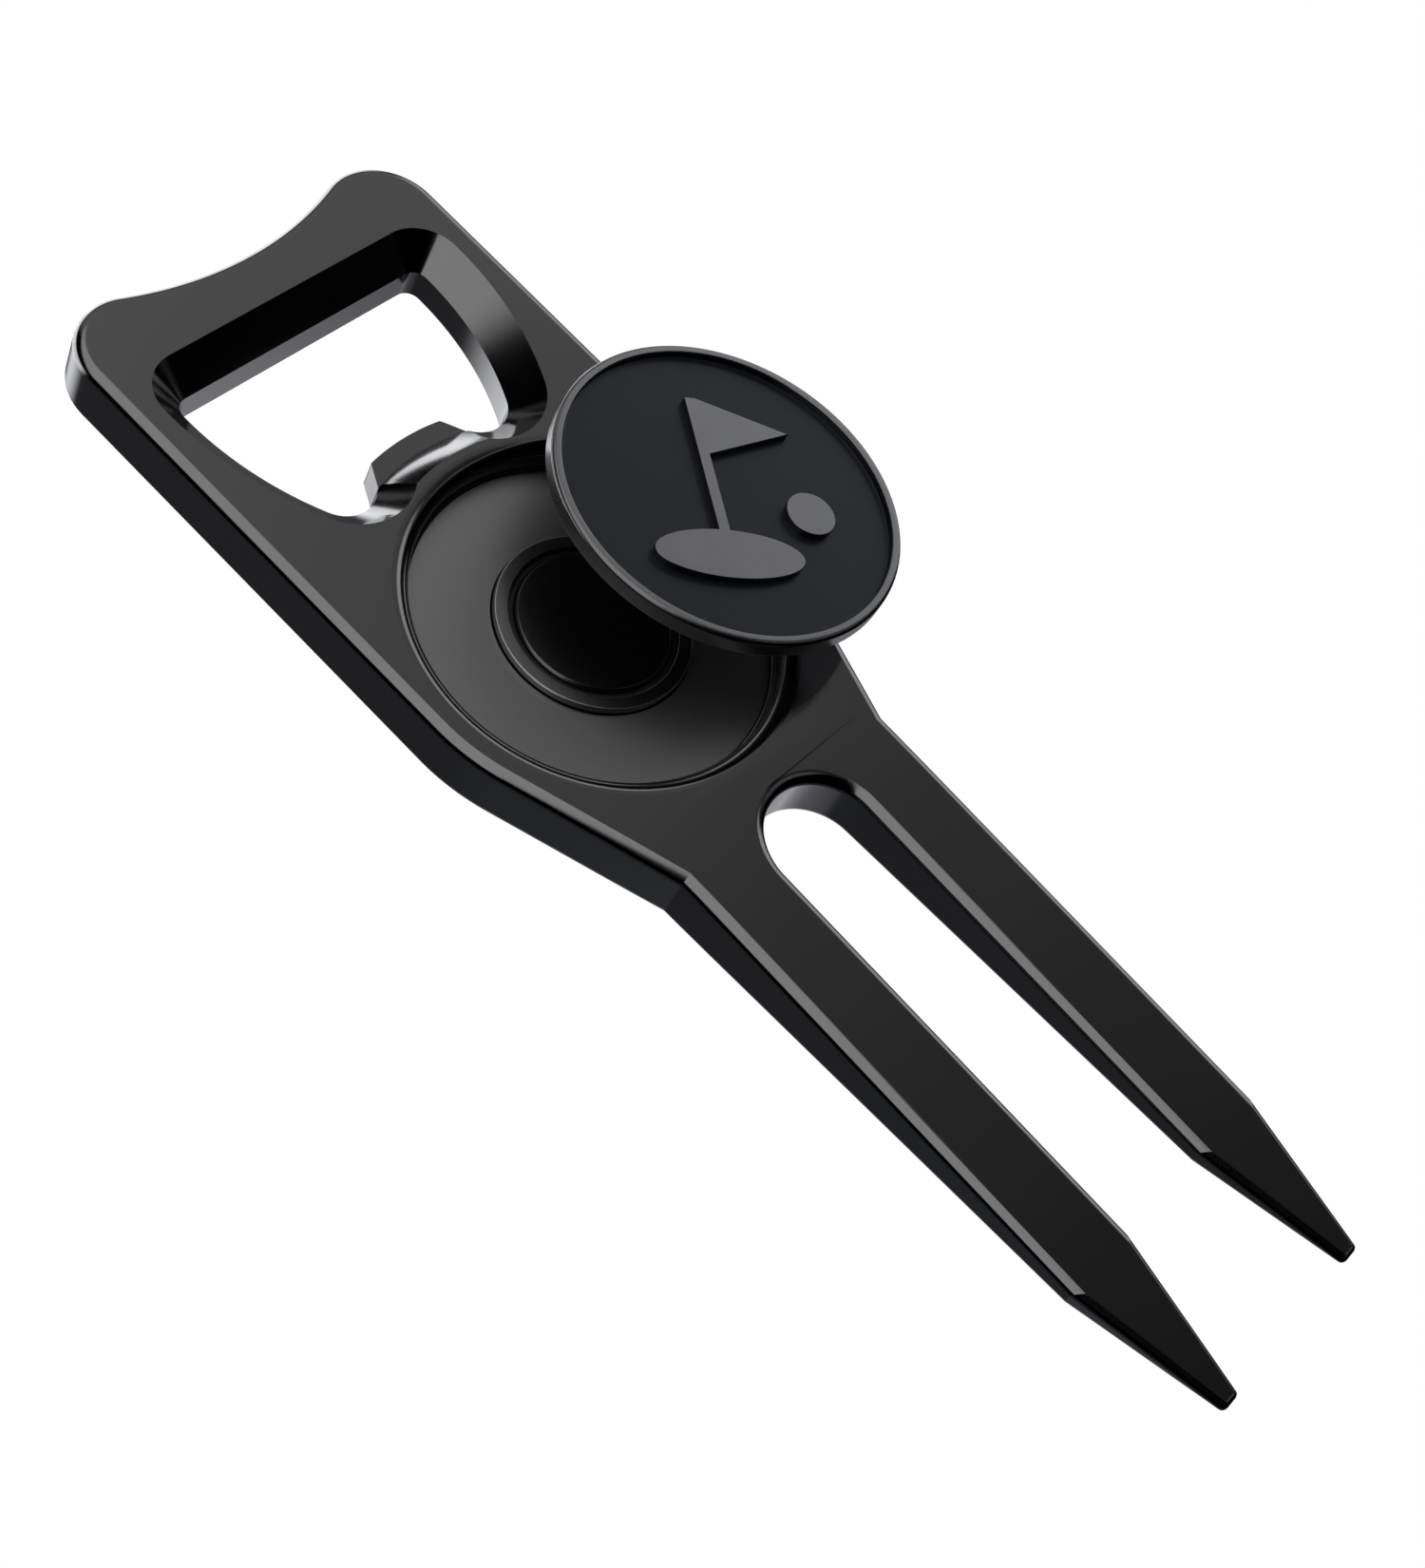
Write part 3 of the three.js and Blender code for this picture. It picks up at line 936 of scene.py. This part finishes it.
# ---- Studio ---------------------------------------------------------------------------------
CAMERA_PLACE = Vector((37.2, -100.45, 130.53 + THICKNESS))
CAMERA_LENS = 61.884
CAMERA_AZIMUTH = math.radians(13.96)
CAMERA_ELEVATION = math.radians(52.58)
CAMERA_ROLL = math.radians(33.9)


def make_camera():
    data = bpy.data.cameras.new("camera")
    data.lens = CAMERA_LENS
    data.sensor_width = 36
    data.sensor_fit = "AUTO"
    data.clip_start = 0.01
    camera = bpy.data.objects.new("camera", data)
    bpy.context.scene.collection.objects.link(camera)
    turn = Matrix.Rotation(CAMERA_AZIMUTH, 4, "Z") @ Matrix.Rotation(math.pi / 2 - CAMERA_ELEVATION, 4, "X")
    turn = turn @ Matrix.Rotation(CAMERA_ROLL, 4, "Z")
    camera.matrix_world = Matrix.Translation(CAMERA_PLACE * MM) @ turn
    bpy.context.scene.camera = camera


def make_floor():
    """A plain white ground with no mirror image in the metal, which is clear from underneath."""
    deselect_all()
    bpy.ops.mesh.primitive_plane_add(size=4, location=(0, 0, -0.0002))
    floor = bpy.context.object
    floor.name = "floor"
    material = bpy.data.materials.new("white_ground")
    material.use_nodes = True
    nodes = Nodes(material.node_tree)
    glow = nodes.add("ShaderNodeEmission", None, {"Color": (1, 1, 1, 1), "Strength": 1.0})
    clear = nodes.add("ShaderNodeBsdfTransparent")
    underneath = nodes.add("ShaderNodeNewGeometry", output="Backfacing")
    ground = nodes.add("ShaderNodeMixShader", None, [underneath, glow, clear])
    nodes.add("ShaderNodeOutputMaterial", None, {"Surface": ground})
    floor.data.materials.append(material)
    floor.visible_glossy = False
    floor.visible_diffuse = False
    floor.visible_shadow = False


class StudioLight:
    """Light by direction: panels and glows, of which the strongest counts in each direction."""

    def __init__(self, nodes):
        self.nodes = nodes
        self.direction = nodes.add("ShaderNodeTexCoord", output="Generated")
        parts = nodes.add("ShaderNodeSeparateXYZ", None, [self.direction]).socket.node.outputs
        self.across = Signal(nodes, parts["X"])
        self.depth = Signal(nodes, parts["Y"])
        self.height = Signal(nodes, parts["Z"])
        self.total = None

    def above(self, value, edge, soft):
        return self.nodes.smooth_range(value, edge - soft, edge + soft)

    def below(self, value, edge, soft):
        return 1 - self.above(value, edge, soft)

    def between(self, value, low, high, soft):
        return self.above(value, low, soft) * self.below(value, high, soft)

    def shine(self, amount, tint):
        inputs = {"Vector": tint, "Scale": amount}
        light = self.nodes.add("ShaderNodeVectorMath", {"operation": "SCALE"}, inputs)
        if self.total is not None:
            brighter = {"operation": "MAXIMUM"}
            light = self.nodes.add("ShaderNodeVectorMath", brighter, [self.total, light])
        self.total = light


WHITE = (1.0, 1.0, 1.0)
COOL = (0.86, 0.88, 1.0)
PANEL_TINT = (0.96, 0.97, 1.0)
REFLECTOR_TINT = (0.95, 0.96, 1.0)
SOFTBOX_SKEW = 0.28
SOFTBOX_STRENGTH = 0.92
PANEL_STRENGTH = 0.92
PANEL_FLOOR_STRENGTH = 0.1
GLOW_STRENGTH = 0.32
REFLECTOR_STRENGTH = 2.4
BOUNCE_STRENGTH = 0.07


def overhead_softbox(light):
    """A long softbox above and in front, seen as a rectangle on a ceiling."""
    right_left = light.across / light.height
    front_back = light.depth / light.height
    skewed = right_left + front_back * SOFTBOX_SKEW
    lit = light.above(right_left, edge=-1.27, soft=0.25) * light.below(skewed, edge=0.135, soft=0.04)
    lit = lit * light.between(front_back, low=-3.3, high=0.54, soft=0.1)
    lit = lit * light.above(light.height, edge=0.12, soft=0.07)
    light.shine(lit * SOFTBOX_STRENGTH, WHITE)


def ceiling_gap(light):
    """The dim ceiling behind the softbox, which fades from left to right and lifts once more."""
    fade = light.nodes.add("ShaderNodeValToRGB", {"stops": [
        (0.0, (0.4, 0.4, 0.4)),
        (0.28, (0.36, 0.36, 0.36)),
        (0.39, (0.21, 0.21, 0.21)),
        (0.48, (0.12, 0.12, 0.12)),
        (0.56, (0.06, 0.06, 0.06)),
        (0.61, (0.025, 0.025, 0.025)),
        (0.71, (0.22, 0.22, 0.22)),
        (0.8, (0.22, 0.22, 0.22)),
        (0.86, (0.0, 0.0, 0.0)),
    ]}, [light.across * 0.5 + 0.5])
    lit = light.above(light.depth, edge=0.15, soft=0.1) * light.above(light.height, edge=0.4, soft=0.3)
    light.shine(lit, fade)


def back_panel(light):
    """A bright upright panel behind, which stands on a dim floor."""
    lit = light.between(light.across / light.depth, low=-0.62, high=0.22, soft=0.1)
    lit = lit * light.above(light.depth, edge=0.1, soft=0.05)
    lit = lit * light.below(light.height, edge=0.67, soft=0.04)
    panel = light.above(light.height, edge=-0.01, soft=0.03) * PANEL_STRENGTH
    light.shine(lit * (panel + PANEL_FLOOR_STRENGTH), PANEL_TINT)


def left_glow(light):
    """A soft glow low on the left, behind."""
    lit = light.below(light.across, edge=-0.4, soft=0.15)
    lit = lit * light.between(light.height, low=0.15, high=0.75, soft=0.1)
    lit = lit * light.above(light.depth, edge=0.1, soft=0.12)
    light.shine(lit * GLOW_STRENGTH, WHITE)


def left_reflector(light):
    """A strong low reflector on the left."""
    lit = light.below(light.across, edge=-0.62, soft=0.1) * light.below(light.height, edge=-0.05, soft=0.1)
    light.shine(lit * REFLECTOR_STRENGTH, REFLECTOR_TINT)


def low_bounce(light):
    """Cool light thrown back from the ground, strongest behind."""
    fade = light.nodes.add("ShaderNodeValToRGB", {"stops": [
        (0.0, (0.06, 0.06, 0.07)),
        (0.24, (0.07, 0.075, 0.085)),
        (0.28, (0.24, 0.24, 0.27)),
        (0.5, (0.4, 0.4, 0.45)),
        (0.63, (0.7, 0.71, 0.8)),
        (0.72, (1.0, 1.0, 1.1)),
        (0.8, (0.5, 0.5, 0.55)),
    ]}, [light.depth * 0.5 + 0.5])
    lit = light.below(light.height, edge=-0.72, soft=0.1) * light.above(light.across, edge=-0.1, soft=0.15)
    light.shine(lit, fade)
    light.shine(light.below(light.height, edge=-0.4, soft=0.15) * BOUNCE_STRENGTH, COOL)


def make_world():
    world = bpy.data.worlds.new("studio")
    bpy.context.scene.world = world
    world.use_nodes = True
    nodes = Nodes(world.node_tree)
    light = StudioLight(nodes)
    overhead_softbox(light)
    ceiling_gap(light)
    back_panel(light)
    left_glow(light)
    left_reflector(light)
    low_bounce(light)
    glow = nodes.add("ShaderNodeBackground", None, {"Color": light.total, "Strength": 1.0})
    white = nodes.add("ShaderNodeBackground", None, {"Color": (1, 1, 1, 1), "Strength": 1.0})
    seen = nodes.add("ShaderNodeLightPath", output="Is Camera Ray")
    mixed = nodes.add("ShaderNodeMixShader", None, [seen, glow, white])
    nodes.add("ShaderNodeOutputWorld", None, {"Surface": mixed})


# ---- Assembly -------------------------------------------------------------------------------
make_camera()
make_floor()
make_world()
bpy.context.scene.view_settings.view_transform = "Standard"

dress(make_blade(), finish("black_plating", black_plating), "tool", "blade_black", "tool_body")
dress(make_cup(), finish("turned_steel", turned_steel), "tool", "cup_steel", "magnet_cup")
dress(make_magnet(), finish("dark_nickel", dark_nickel), "tool", "magnet_nickel", "magnet_disc")
dress(make_adhesive(), finish("cured_resin", cured_resin), "tool", "adhesive_resin", "magnet_adhesive")
dress(make_coin(), finish("struck_metal", struck_metal), "marker", "marker_steel", "marker_coin")
dress(make_enamel(), finish("dark_enamel", dark_enamel), "marker", "marker_enamel", "marker_enamel")
